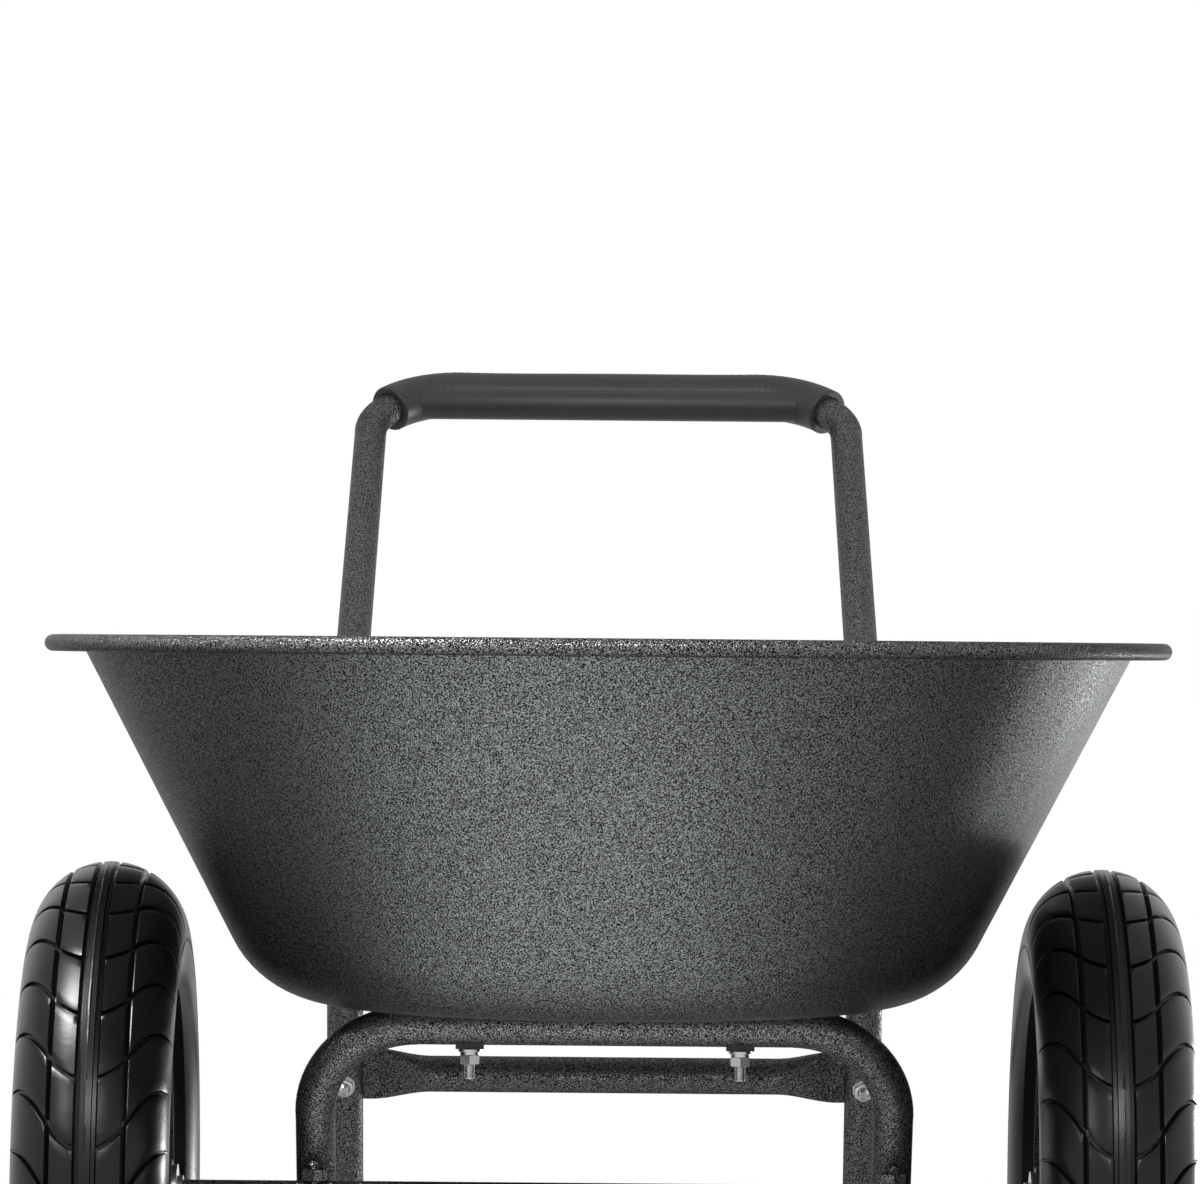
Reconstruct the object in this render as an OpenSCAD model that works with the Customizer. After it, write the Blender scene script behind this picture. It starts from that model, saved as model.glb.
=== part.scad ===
// Two wheel garden wheelbarrow: pressed steel tray on a bolted tube frame,
// two pneumatic wheels on one axle and a loop handle with a foam grip.
// Front is -Y, the handle is at +Y, and the ground is z = 0.

/* [Tray] */
// Width of the tray over its rolled rim
tray_w = 609; // [580:1:640]
// Front edge of the rim, ahead of the axle
rim_front = 346; // [320:1:370]
// Back edge of the rim, behind the axle
rim_back = 430; // [410:1:450]
// Height of the rolled rim's centre above the ground
rim_z = 472; // [462:1:485]
// Depth of the tray from the rolled rim's centre to its underside
tray_depth = 191; // [180:1:200]
// Thickness of the steel sheet
sheet = 0.9; // [0.6:0.1:1.6]
// Diameter of the rolled rim
bead_d = 9; // [7:0.5:11]
// Width of the lip between the wall and the rolled rim's centre
lip_w = 13.5; // [10:0.5:16]
// Width across the corners of the tray's bottom
bottom_w = 370; // [350:1:390]
// Front corner of the tray's bottom, ahead of the axle
bottom_front = 204; // [185:1:220]
// Back corner of the tray's bottom, behind the axle
bottom_back = 252; // [244:1:262]
// Radius between the tray's bottom and its walls
bottom_r = 60; // [45:1:70]
// Radius between the walls and the lip
lip_r = 6; // [3:0.5:8]

/* [Frame] */
// Diameter of the frame tube
tube_d = 21.3; // [19:0.1:24]
// Wall of the frame tube
tube_wall = 1.2; // [1:0.1:2]
// Distance between the legs of the front arch
arch_w = 310; // [290:1:320]
// Lean of the front arch from upright, top forward
arch_lean = 28; // [24:0.5:32]
// Bend radius of the front arch and its stretchers
arch_bend = 55; // [45:1:65]
// Height of the stretchers that run back to the rear legs
stretcher_z = 105; // [95:1:120]
// Lean of the rear legs from upright, foot backward
leg_lean = 15; // [10:0.5:18]
// Height of the cross brace
brace_z = 216; // [205:1:230]
// Place of the rear leg's bolt along the handle arm
leg_along = 74; // [68:1:84]
// How far the rear legs stand outside their flattened tops
leg_out = 4; // [0:0.5:6]

/* [Handle] */
// Distance between the two handle arms
arm_w = 321; // [312:1:336]
// Slope of the handle arms
arm_slope = 26.8; // [24:0.1:29]
// Length of the handle from the tray bottom to the grip
handle_l = 807; // [740:1:860]
// Bend radius of the handle loop
handle_bend = 60; // [50:1:70]
// Place of the joint between arm and handle loop, along the arm
joint_along = 330; // [260:1:400]
// Outside diameter of the foam grip
foam_d = 31; // [28:0.5:34]
// How far the foam runs into each bend, in degrees
foam_sweep = 54; // [20:1:60]

/* [Wheels] */
// Outside diameter of the tyre
tyre_d = 355; // [345:1:365]
// Width of the tyre
tyre_w = 82; // [76:1:86]
// Distance between the tyres' centres
track = 531; // [525:1:560]
// Diameter over the rim flanges
flange_d = 228; // [222:1:234]
// Diameter of the rim's bead seat
seat_d = 203.2; // [198:0.1:208]
// Width of the rim between its flanges
rim_w = 53; // [48:1:58]
// Thickness of the rim's steel
rim_t = 2; // [1.5:0.1:2.5]
// Length of the hub
hub_l = 69; // [64:1:76]
// Diameter of the hub
hub_d = 36; // [35:0.5:42]
// Depth of the tread grooves
groove_h = 4; // [2:0.5:5]

/* [Axle] */
// Diameter of the axle
axle_d = 15; // [14:0.5:17]
// Outside diameter of the wheel bearings
bearing_d = 32; // [30:0.5:33]
// Width of the wheel bearings
bearing_w = 9; // [7:0.5:11]

/* [Fasteners] */
// Diameter of the bolts
bolt_d = 6; // [5:0.5:7]
// Width of the bolt heads and nuts across their flats
hex_w = 10; // [9:0.5:11]
// Diameter of the bolts through the axle
axle_bolt_d = 8; // [7:0.5:8]
// Diameter of the clearance holes
hole_d = 6.6; // [6.2:0.1:7.4]
// Distance of the tray's bolts from the bends of the front arch
tray_bolt_in = 28; // [20:1:40]

/* [Hidden] */

$fn = 64;

// Finishes
paint_black = [0.10, 0.10, 0.10];
paint_grey = [0.30, 0.30, 0.31];
zinc = [0.75, 0.75, 0.72];
rubber = [0.06, 0.06, 0.06];
plastic = [0.12, 0.12, 0.12];

// Fits: sliding gap between a piece and its seat, side play and running gap at the wheels
slide_gap = 0.05;
side_play = 0.3;
run_gap = 0.03;
// Weld laps: how far one length of tube runs into the next, and how much thicker an elbow is
lap = 0.5;
elbow_step = 0.15;
eps = 0.2;

// Hardware
head_h = 4;
nut_h = 5;
axle_hex_w = 1.625 * axle_bolt_d;
axle_nut_h = 0.8 * axle_bolt_d;
axle_hole_d = axle_bolt_d + 0.6;
thread_end = 8;
short_end = 4;
dome_d = 2.2 * bolt_d;
dome_h = 2.8;
washer_d = 2.1 * bolt_d;
washer_t = 1.6;
spring_d = 1.75 * bolt_d;

// Tube and its flattened ends
tube_r = tube_d / 2;
pad_t = 2 * tube_wall + 0.6;
pad_w = PI * (tube_d - tube_wall) / 2;
pad_half = 15;
crush_l = 35;

// Heights
axle_z = tyre_d / 2;
axle_r = axle_d / 2;
tray_z = rim_z - tray_depth;

// Strap under the back of the tray, welded between the flattened ends of the handle arms
strap_t = pad_t;
strap_w = 30;
strap_back = 57;
strap_y = bottom_back - strap_back;

// Handle arms: the flattened end lies under the tray and the tube starts to rise at the knee
arm_x = arm_w / 2;
knee_back = 14;
knee_y = bottom_back + knee_back;
knee_z = tray_z - pad_t / 2;
function on_arm(s) = [knee_y + s * cos(arm_slope), knee_z + s * sin(arm_slope)];
grip_y = on_arm(handle_l)[0];
grip_z = on_arm(handle_l)[1];
spigot_l = 55;
spigot_r = tube_r - tube_wall - 2 * slide_gap;
shoulder_l = 8;
joint_bolt_back = 25;

// Rear legs: flattened at the top, bolted to the inner sides of the arms
leg_x = arm_x - tube_r - pad_t / 2 + leg_out;
leg_y = on_arm(leg_along)[0];
leg_z = on_arm(leg_along)[1];
leg_l = leg_z / cos(leg_lean);
foot_y = leg_y + leg_z * tan(leg_lean);
foot_floor = 10;
foot_wall = 2.2;
foot_h = 34;

// Cross brace, flattened ends bolted to the backs of the legs
brace_down = (leg_z - brace_z) / cos(leg_lean);
brace_back = tube_r + pad_t / 2;
brace_past = 10;

// Front arch: its bar lies under the tray and its legs pass just behind the nuts on the axle
nut_gap = 1.5;
nut_top_z = axle_z + axle_r + axle_nut_h;
arch_x = arch_w / 2;
bar_z = tray_z - tube_r;
bar_y = axle_hex_w / 2 + nut_gap + tube_r / cos(arch_lean) - (bar_z - nut_top_z) * tan(arch_lean);
arch_knee_y = bar_y + (bar_z - stretcher_z) * tan(arch_lean);
tray_bolt_w = arch_w - 2 * (arch_bend + tray_bolt_in);
stretcher_x = leg_x + tube_r + pad_t / 2;
stretcher_bolt_y = foot_y - stretcher_z * tan(leg_lean);
stretcher_end_y = stretcher_bolt_y - pad_half - crush_l;

// Axle seats welded to the front of the arch
seat_t = 3;
seat_w = 34;
seat_front = 16;
seat_lip = 14;
seat_z = axle_z - axle_r - seat_t;

// Saddle washers that fit the round bar to a flat washer
saddle_w = 15;
saddle_d = 10;
saddle_t = 2;

// Wheel places along the axle
hub_in = track / 2 - hub_l / 2;
hub_out = track / 2 + hub_l / 2;
inner_washer_t = 2.5;
collar_t = 3;
collar_d = axle_d + 4.5;
outer_washer_t = 2;
big_washer_d = 2.1 * axle_d;
pin_d = 3.8;
pin_x = hub_out + side_play + outer_washer_t + side_play + pin_d / 2;
axle_end = 9;
axle_half = pin_x + axle_end;

// Wheel sections
section_r = tyre_w / 2;
section_c = axle_z - section_r;
casing_t = 11;
crown_less = 2;
bead_w = 10.5;
cavity_r = section_r - casing_t;
cavity_c = section_c + crown_less;
tube_section_r = cavity_r - side_play;
tube_rubber = 2;
rib_w = 6.6;
groove_w = 2.7;
block_w = 12.4;
disc_r = 70;
well_h = 16;
rim_bolt_d = 8;
rim_hex_w = 13;
rim_nut_h = 6.5;
rim_bolt_r = (hub_d / 2 + disc_r) / 2;
rim_bolt_count = 4;
valve_h = 9;
valve_d = 8.6;
valve_out = 62;
valve_tip_d = 6;
valve_tip_l = 10;
valve_cap_d = 9.4;
valve_cap_l = 12;

// The origin lies under the middle of the object's length
origin_y = (rim_front - (grip_y + foam_d / 2)) / 2;
module placed() { translate([0, origin_y, 0]) children(); }
module both_sides() { children(); mirror([1, 0, 0]) children(); }
module both_ends() { children(); mirror([0, 0, 1]) children(); }
module on_side(side) {
  if (side > 0) children();
  else mirror([1, 0, 0]) children();
}

// Bent tube

function unit(v) = v / norm(v);

// Straight tube between two points
module straight(p, q, outside, inside) {
  run = q - p;
  translate(p)
    rotate([0, acos(run[2] / norm(run)), atan2(run[1], run[0])])
      difference() {
        cylinder(d = outside, h = norm(run));
        if (inside > 0) translate([0, 0, -1]) cylinder(d = inside, h = norm(run) + 2);
      }
}

// Elbow at a corner, from direction u towards direction v, over the first sweep degrees
module elbow(corner, u, v, bend, outside, inside, sweep) {
  turn = acos(u * v);
  m = unit(v - (u * v) * u);
  n = unit(cross(u, v));
  centre = corner - bend * tan(turn / 2) * u + bend * m;
  multmatrix([
    [-m[0], u[0], n[0], centre[0]],
    [-m[1], u[1], n[1], centre[1]],
    [-m[2], u[2], n[2], centre[2]],
    [0, 0, 0, 1]
  ])
    rotate_extrude(angle = min(sweep, turn), $fn = 96)
      translate([bend, 0]) difference() {
        circle(d = outside);
        if (inside > 0) circle(d = inside);
      }
}

// Tube along a list of points, with an elbow at each corner
module bent_tube(points, bend, outside, inside) {
  last = len(points) - 1;
  dirs = [for (i = [0:last - 1]) unit(points[i + 1] - points[i])];
  cut = [for (i = [0:last]) i == 0 || i == last ? 0 : bend * tan(acos(dirs[i - 1] * dirs[i]) / 2)];
  over = [for (i = [0:last]) i == 0 || i == last ? 0 : lap];
  for (i = [0:last - 1])
    straight(points[i] + (cut[i] - over[i]) * dirs[i],
      points[i + 1] - (cut[i + 1] - over[i + 1]) * dirs[i], outside, inside);
  for (i = [1:last - 1])
    elbow(points[i], dirs[i - 1], dirs[i], bend, outside + 2 * elbow_step, inside - 2 * elbow_step, 180);
}

// Flattened tube end along +Z: round at the bottom, a flat pad square to X above it.
// The tube comes in turned by splay degrees, the pad lies aside of its axis and runs on past its hole.
module crushed_end(splay, aside, past) {
  hull() {
    rotate([0, splay, 0]) translate([0, 0, -lap]) cylinder(d = tube_d - eps, h = lap - eps, $fn = 32);
    translate([aside - pad_t / 2, -pad_w / 2, crush_l]) cube([pad_t, pad_w, eps]);
  }
  difference() {
    translate([aside - pad_t / 2, -pad_w / 2, crush_l]) cube([pad_t, pad_w, pad_half + past]);
    translate([aside, 0, crush_l + pad_half]) rotate([0, 90, 0])
      cylinder(d = hole_d, h = 4 * pad_t, center = true);
  }
}

// Hardware, each along +Z from its seat

module hex_prism(width, h) { cylinder(d = width / cos(30), h = h, $fn = 6); }
module hex_bolt(l, d = bolt_d, width = hex_w) {
  translate([0, 0, -head_h]) hex_prism(width, head_h);
  cylinder(d = d, h = l);
}
module dome_bolt(l) {
  dome_r = (dome_d * dome_d / 4 + dome_h * dome_h) / (2 * dome_h);
  intersection() {
    translate([0, 0, dome_r - dome_h]) sphere(r = dome_r);
    translate([0, 0, -dome_h]) cylinder(d = dome_d, h = dome_h);
  }
  cylinder(d = bolt_d, h = l);
}
module ring(outside, inside, h) {
  difference() {
    cylinder(d = outside, h = h);
    translate([0, 0, -1]) cylinder(d = inside, h = h + 2);
  }
}
module hex_nut(h = nut_h, d = bolt_d, width = hex_w) {
  difference() {
    hex_prism(width, h);
    translate([0, 0, -1]) cylinder(d = d + 2 * slide_gap, h = h + 2);
  }
}
module flat_washer() { ring(washer_d, hole_d, washer_t); }
module spring_washer() {
  slit = 1;
  difference() {
    ring(spring_d, hole_d, washer_t);
    translate([0, -slit / 2, -1]) cube([spring_d, slit, washer_t + 2]);
  }
}

// Tray

tray_steps = 96;
bottom_steps = 5;
lip_steps = 2;
bead_steps = 10;
bead_r = bead_d / 2;
wall_h = tray_depth + bead_r - sheet;
lip_edge = lip_w + bead_r;
// Widest places of the bottom and of the top, and how full their outlines are (2 is an ellipse)
bottom_middle = 52;
top_middle = 66;
bottom_full = 2.14;
top_full = 2.25;
back_full = 2.8;

// Half outline with its own front and back lengths and fullness
function power(v, e) = sign(v) * pow(abs(v), e);
function outline(phi, half_w, front, back, middle, full_front, full_back) =
  let (full = sin(phi) < 0 ? full_front : full_back)
  let (reach = sin(phi) < 0 ? front + middle : back - middle)
  [half_w * power(cos(phi), 2 / full), middle + reach * power(sin(phi), 2 / full)];
function bottom_corner(phi) =
  outline(phi, bottom_w / 2, bottom_front, bottom_back, bottom_middle, bottom_full, back_full);
function top_corner(phi) =
  outline(phi, tray_w / 2 - lip_edge, rim_front - lip_edge, rim_back - lip_edge,
    top_middle, top_full, back_full);

// Bend of the sheet at the bottom, from flat to the wall's lean
function bottom_bend(corner, r, lean) =
  [for (k = [0:bottom_steps])
    let (b = 90 + (lean - 90) * k / bottom_steps)
    corner + [r * cos(b) - r * tan((90 - lean) / 2), r * (1 - sin(b))]];
// Bend of the sheet at the lip, from the wall's lean to flat
function lip_bend(corner, r, lean) =
  [for (k = [0:lip_steps])
    let (b = lean + (90 - lean) * k / lip_steps)
    let (t = r * tan((90 - lean) / 2))
    corner - t * [sin(lean), cos(lean)] + r * [cos(lean) - cos(b), sin(b) - sin(lean)]];
function backwards(list) = [for (i = [len(list) - 1:-1:0]) list[i]];

// Outlines of the sheet, the underside first: edge of the bottom, the bend, and the wall with lip and rolled rim
function rim_section(run, lean, shift) =
  let (top = [run, wall_h])
  let (bead_start = 180 - asin((bead_r - sheet) / bead_r))
  let (bead_end = 450)
  concat(
    lip_bend(top, lip_r, lean),
    [for (k = [0:bead_steps])
      let (b = bead_start + (bead_end - bead_start) * k / bead_steps)
      [run + lip_w, tray_depth] + bead_r * [cos(b), sin(b)]],
    backwards(lip_bend(top + shift, lip_r + sheet, lean))
  );
function sheet_section(zone, run) =
  let (lean = atan(run / wall_h))
  let (shift = sheet * [-cos(lean) / (1 + sin(lean)), 1])
  let (under = bottom_bend([0, 0], bottom_r, lean))
  let (over = bottom_bend(shift, bottom_r - sheet, lean))
  zone == "bottom" ? [under[0], over[0]] :
  zone == "bend" ? concat(under, backwards(over)) :
  concat([under[bottom_steps]], rim_section(run, lean, shift), [over[bottom_steps]]);
function sheet_ring(zone, phi) =
  let (low = bottom_corner(phi))
  let (run = top_corner(phi) - low)
  let (out = unit(run))
  [for (p = sheet_section(zone, norm(run)))
    [low[0] + p[0] * out[0], low[1] + p[0] * out[1], tray_z + p[1]]];

// One zone of the pressed sheet: a flat plate, or a ring that closes on itself
module pressed(zone) {
  rings = [for (i = [0:tray_steps - 1]) sheet_ring(zone, 360 * (i + 0.5) / tray_steps)];
  per = len(rings[0]);
  plate = zone == "bottom";
  sides = [for (i = [0:tray_steps - 1], j = [0:per - (plate ? 2 : 1)])
    let (k = (j + 1) % per)
    let (a = i * per)
    let (b = ((i + 1) % tray_steps) * per)
    each (k == 0 ? [[a + j, a, b + j], [a, b, b + j]] : [[a + j, a + k, b + k], [a + j, b + k, b + j]])];
  caps = [
    [for (i = [0:tray_steps - 1]) i * per],
    [for (i = [tray_steps - 1:-1:0]) i * per + per - 1]
  ];
  polyhedron([for (r = rings) each r], plate ? concat(sides, caps) : sides, convexity = 8);
}
module tray_bolt_places() {
  for (y = [bar_y, strap_y], x = [-tray_bolt_w / 2, tray_bolt_w / 2])
    translate([x, y, 0]) children();
}
module tray_bottom() {
  color(paint_grey) placed() difference() {
    pressed("bottom");
    tray_bolt_places() translate([0, 0, tray_z - 1]) cylinder(d = hole_d, h = sheet + 2);
  }
}
module tray_bend() { color(paint_grey) placed() pressed("bend"); }
module tray_wall() { color(paint_grey) placed() pressed("wall"); }

// Frame

function stretcher_end(side) = [side * stretcher_x, stretcher_end_y, stretcher_z];
function arch_points(side) = [
  [side * arch_x, arch_knee_y, stretcher_z],
  [side * arch_x, bar_y, bar_z]
];
module base_frame() {
  path = concat([stretcher_end(1)], arch_points(1), backwards(arch_points(-1)), [stretcher_end(-1)]);
  splay = atan2(stretcher_x - arch_x, stretcher_end_y - arch_knee_y);
  color(paint_black) placed() difference() {
    union() {
      bent_tube(path, arch_bend, tube_d, tube_d - 2 * tube_wall);
      both_sides() translate(stretcher_end(1)) rotate([-90, 0, 0]) crushed_end(splay, 0, pad_half);
    }
    for (x = [-tray_bolt_w / 2, tray_bolt_w / 2])
      translate([x, bar_y, bar_z]) cylinder(d = hole_d, h = 2 * tube_d, center = true);
  }
}

// Local frame of a rear leg: the origin is its top bolt and -Z runs down the leg
module at_leg() { translate([leg_x, leg_y, leg_z]) rotate([leg_lean, 0, 0]) children(); }
module rear_leg(side) {
  color(paint_black) placed() on_side(side) difference() {
    at_leg() {
      translate([0, 0, foot_floor - leg_l])
        ring(tube_d, tube_d - 2 * tube_wall, leg_l - foot_floor - pad_half - crush_l);
      translate([0, 0, -pad_half - crush_l]) crushed_end(0, -leg_out, pad_half);
    }
    at_leg() translate([0, 0, -brace_down]) rotate([90, 0, 0])
      cylinder(d = hole_d, h = 2 * tube_d, center = true);
    translate([leg_x, stretcher_bolt_y, stretcher_z]) rotate([0, 90, 0])
      cylinder(d = hole_d, h = 2 * tube_d, center = true);
  }
}
module foot(side) {
  color(plastic) placed() on_side(side) difference() {
    at_leg() translate([0, 0, -leg_l - foot_floor])
      cylinder(d = tube_d + 2 * foot_wall, h = foot_h + foot_floor);
    at_leg() translate([0, 0, foot_floor - leg_l])
      cylinder(d = tube_d + 2 * slide_gap, h = foot_h);
    translate([leg_x - tube_d, foot_y - 2 * tube_d, -2 * tube_d]) cube([2 * tube_d, 4 * tube_d, 2 * tube_d]);
  }
}

// Local frame of the cross brace: X runs along it and -Y points out of the legs' fronts
module at_brace() {
  translate([0, leg_y, leg_z]) rotate([leg_lean, 0, 0]) translate([0, 0, -brace_down]) children();
}
module cross_brace() {
  half = leg_x - pad_half - crush_l;
  color(paint_black) placed() at_brace() translate([0, brace_back, 0]) {
    translate([-half, 0, 0]) rotate([0, 90, 0]) ring(tube_d, tube_d - 2 * tube_wall, 2 * half);
    both_sides() translate([half, 0, 0]) rotate([0, 90, 0]) rotate([0, 0, 90]) crushed_end(0, 0, brace_past);
  }
}

// Local frame of an arm: the origin is its knee and +Y runs up the slope
module at_arm() { translate([arm_x, knee_y, knee_z]) rotate([arm_slope, 0, 0]) children(); }
module arm(side) {
  pad_front = strap_y - strap_w / 2;
  bore = tube_d - 2 * tube_wall;
  color(paint_black) placed() on_side(side) difference() {
    union() {
      at_arm() translate([0, crush_l, 0]) rotate([-90, 0, 0]) ring(tube_d, bore, joint_along - crush_l);
      hull() {
        at_arm() translate([0, crush_l + eps, 0]) rotate([-90, 0, 0])
          cylinder(d = tube_d - eps, h = lap - eps, $fn = 32);
        translate([arm_x - pad_w / 2, knee_y - eps, knee_z - pad_t / 2]) cube([pad_w, eps, pad_t]);
      }
      translate([arm_x - pad_w / 2, pad_front, knee_z - pad_t / 2]) cube([pad_w, knee_y - pad_front, pad_t]);
    }
    for (s = [leg_along, joint_along - joint_bolt_back])
      at_arm() translate([0, s, 0]) rotate([0, 90, 0]) cylinder(d = hole_d, h = 2 * tube_d, center = true);
  }
}
module tray_strap() {
  half = arm_x - pad_w / 2;
  color(paint_black) placed() difference() {
    translate([-half, strap_y - strap_w / 2, tray_z - strap_t]) cube([2 * half, strap_w, strap_t]);
    tray_bolt_places() translate([0, 0, tray_z - strap_t - 1]) cylinder(d = hole_d, h = strap_t + 2);
  }
}

// Handle loop with reduced ends that slide into the arms

function arm_point(side, s) = [side * arm_x, on_arm(s)[0], on_arm(s)[1]];
uphill = [0, cos(arm_slope), sin(arm_slope)];
module spigot() {
  inside = joint_along + shoulder_l;
  straight(arm_point(1, joint_along - spigot_l), arm_point(1, inside),
    2 * spigot_r, 2 * (spigot_r - tube_wall));
  straight(arm_point(1, joint_along + lap), arm_point(1, inside - lap),
    tube_d - tube_wall, 2 * spigot_r - tube_wall);
}
module handle_loop() {
  path = [
    arm_point(1, joint_along), arm_point(1, handle_l),
    arm_point(-1, handle_l), arm_point(-1, joint_along)
  ];
  color(paint_black) placed() difference() {
    union() {
      bent_tube(path, handle_bend, tube_d, tube_d - 2 * tube_wall);
      both_sides() spigot();
    }
    both_sides() at_arm() translate([0, joint_along - joint_bolt_back, 0]) rotate([0, 90, 0])
      cylinder(d = hole_d, h = 2 * tube_d, center = true);
  }
}
module foam_grip() {
  bore = tube_d + 2 * slide_gap + 4 * elbow_step;
  straight_half = arm_x - handle_bend;
  color(plastic) placed() {
    straight([-straight_half - lap, grip_y, grip_z], [straight_half + lap, grip_y, grip_z], foam_d, bore);
    both_sides() elbow(arm_point(1, handle_l), [1, 0, 0], -uphill, handle_bend,
      foam_d + 2 * elbow_step, bore - 2 * elbow_step, foam_sweep);
  }
}

// Frame and tray hardware

module tray_bolts() {
  color(zinc) placed() {
    for (x = [-tray_bolt_w / 2, tray_bolt_w / 2]) {
      translate([x, bar_y, tray_z + sheet]) mirror([0, 0, 1])
        dome_bolt(sheet + tube_d + saddle_t + 2 * washer_t + nut_h + thread_end);
      translate([x, strap_y, tray_z + sheet]) mirror([0, 0, 1])
        dome_bolt(sheet + strap_t + 2 * washer_t + nut_h + short_end);
    }
  }
}
// Stack of loose pieces under the bar and under the strap, measured down from the seat
module tray_stack(down) {
  for (x = [-tray_bolt_w / 2, tray_bolt_w / 2]) {
    translate([x, bar_y, bar_z - tube_r - saddle_t - down]) mirror([0, 0, 1]) children();
    translate([x, strap_y, tray_z - strap_t - down]) mirror([0, 0, 1]) children();
  }
}
module tray_saddles() {
  color(plastic) placed()
    for (x = [-tray_bolt_w / 2, tray_bolt_w / 2]) translate([x, bar_y, bar_z]) difference() {
      translate([-saddle_w / 2, -saddle_d / 2, -tube_r - saddle_t])
        cube([saddle_w, saddle_d, saddle_t + tube_r / 3]);
      rotate([0, 90, 0]) cylinder(d = tube_d, h = 2 * saddle_w, center = true);
      cylinder(d = hole_d, h = 4 * tube_d, center = true);
    }
}
module tray_washers() { color(zinc) placed() tray_stack(0) flat_washer(); }
module tray_spring_washers() { color(zinc) placed() tray_stack(washer_t) spring_washer(); }
module tray_nuts() { color(zinc) placed() tray_stack(2 * washer_t) hex_nut(); }

// Bolts through the legs and the brace, nuts to the front
module brace_stack(along) {
  both_sides() at_brace() translate([leg_x, tube_r + pad_t - along, 0]) rotate([90, 0, 0]) children();
}
module brace_bolts() {
  color(zinc) placed() brace_stack(0) hex_bolt(pad_t + tube_d + washer_t + nut_h + short_end);
}
module brace_washers() { color(zinc) placed() brace_stack(pad_t + tube_d) flat_washer(); }
module brace_nuts() { color(zinc) placed() brace_stack(pad_t + tube_d + washer_t) hex_nut(); }

// Bolts across, heads to the outside: x is the head's seat, the children run inwards
module cross_stack(x, y, z, along) {
  both_sides() translate([x - along, y, z]) rotate([0, -90, 0]) children();
}
module leg_stack(along) { cross_stack(arm_x + tube_r, leg_y, leg_z, along) children(); }
module leg_bolts() { color(zinc) placed() leg_stack(0) hex_bolt(tube_d + pad_t + nut_h + short_end); }
module leg_nuts() { color(zinc) placed() leg_stack(tube_d + pad_t) hex_nut(); }
module stretcher_stack(along) {
  cross_stack(stretcher_x + pad_t / 2, stretcher_bolt_y, stretcher_z, along) children();
}
module stretcher_bolts() {
  color(zinc) placed() stretcher_stack(0) hex_bolt(pad_t + tube_d + nut_h + short_end);
}
module stretcher_nuts() { color(zinc) placed() stretcher_stack(pad_t + tube_d) hex_nut(); }
module handle_stack(along) {
  spot = on_arm(joint_along - joint_bolt_back);
  cross_stack(arm_x + tube_r, spot[0], spot[1], along) children();
}
module handle_bolts() { color(zinc) placed() handle_stack(0) hex_bolt(tube_d + nut_h + short_end); }
module handle_nuts() { color(zinc) placed() handle_stack(tube_d) hex_nut(); }

// Axle and its seats

module axle() {
  chamfer = 1.5;
  color(paint_black) placed() translate([0, 0, axle_z]) difference() {
    rotate([0, 90, 0]) {
      cylinder(d = axle_d, h = 2 * (axle_half - chamfer), center = true);
      both_ends() translate([0, 0, axle_half - chamfer])
        cylinder(d1 = axle_d, d2 = axle_d - 2 * chamfer, h = chamfer);
    }
    for (x = [-arch_x, arch_x])
      translate([x, 0, 0]) cylinder(d = axle_hole_d, h = 2 * axle_d, center = true);
    for (x = [-pin_x, pin_x])
      translate([x, 0, 0]) cylinder(d = pin_d + 2 * slide_gap, h = 2 * axle_d, center = true);
  }
}
module axle_seat(side) {
  color(paint_black) placed() on_side(side) difference() {
    translate([arch_x - seat_w / 2, -seat_front, seat_z]) {
      cube([seat_w, seat_front + 2 * tube_d, seat_t]);
      translate([0, 0, -seat_lip]) cube([seat_w, seat_t, seat_lip]);
    }
    translate([arch_x, bar_y, bar_z]) rotate([arch_lean, 0, 0])
      cylinder(d = tube_d, h = 8 * tube_d + 2 * bar_z, center = true);
    translate([arch_x, bar_y, bar_z]) rotate([arch_lean, 0, 0])
      translate([-seat_w, 0, -2 * bar_z]) cube([2 * seat_w, 4 * tube_d, 4 * bar_z]);
    translate([arch_x, 0, seat_z - 1]) cylinder(d = axle_hole_d, h = seat_t + 2);
  }
}
module axle_bolts() {
  color(paint_black) placed() both_sides() translate([arch_x, 0, seat_z])
    hex_bolt(seat_t + axle_d + axle_nut_h + short_end, axle_bolt_d, axle_hex_w);
}
module axle_nuts() {
  color(paint_black) placed() both_sides() translate([arch_x, 0, axle_z + axle_r])
    hex_nut(axle_nut_h, axle_bolt_d, axle_hex_w);
}
// Rings on the axle, x is the inner face
module axle_rings(x, outside, t) {
  color(zinc) placed() both_sides() translate([x, 0, axle_z]) rotate([0, 90, 0])
    ring(outside, axle_d + 2 * slide_gap, t);
}
module inner_washers() { axle_rings(hub_in - side_play - inner_washer_t, big_washer_d, inner_washer_t); }
module axle_collars() { axle_rings(hub_in - side_play - inner_washer_t - collar_t, collar_d, collar_t); }
module outer_washers() { axle_rings(hub_out + side_play, big_washer_d, outer_washer_t); }
module split_pins() {
  eye_r = pin_d;
  tail = 6;
  color(zinc) placed() both_sides() translate([pin_x, 0, axle_z]) {
    translate([0, 0, -axle_r - tail]) cylinder(d = pin_d, h = axle_d + 2 * tail);
    translate([0, 0, axle_r + tail + eye_r]) rotate([0, 90, 0])
      rotate_extrude() translate([eye_r, 0]) circle(d = pin_d / 2);
    translate([0, 0, -axle_r - tail + pin_d / 4]) rotate([-60, 0, 0]) cylinder(d = pin_d / 2, h = tail);
  }
}

// Wheels, each along its own axis with +Z to the outside

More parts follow.
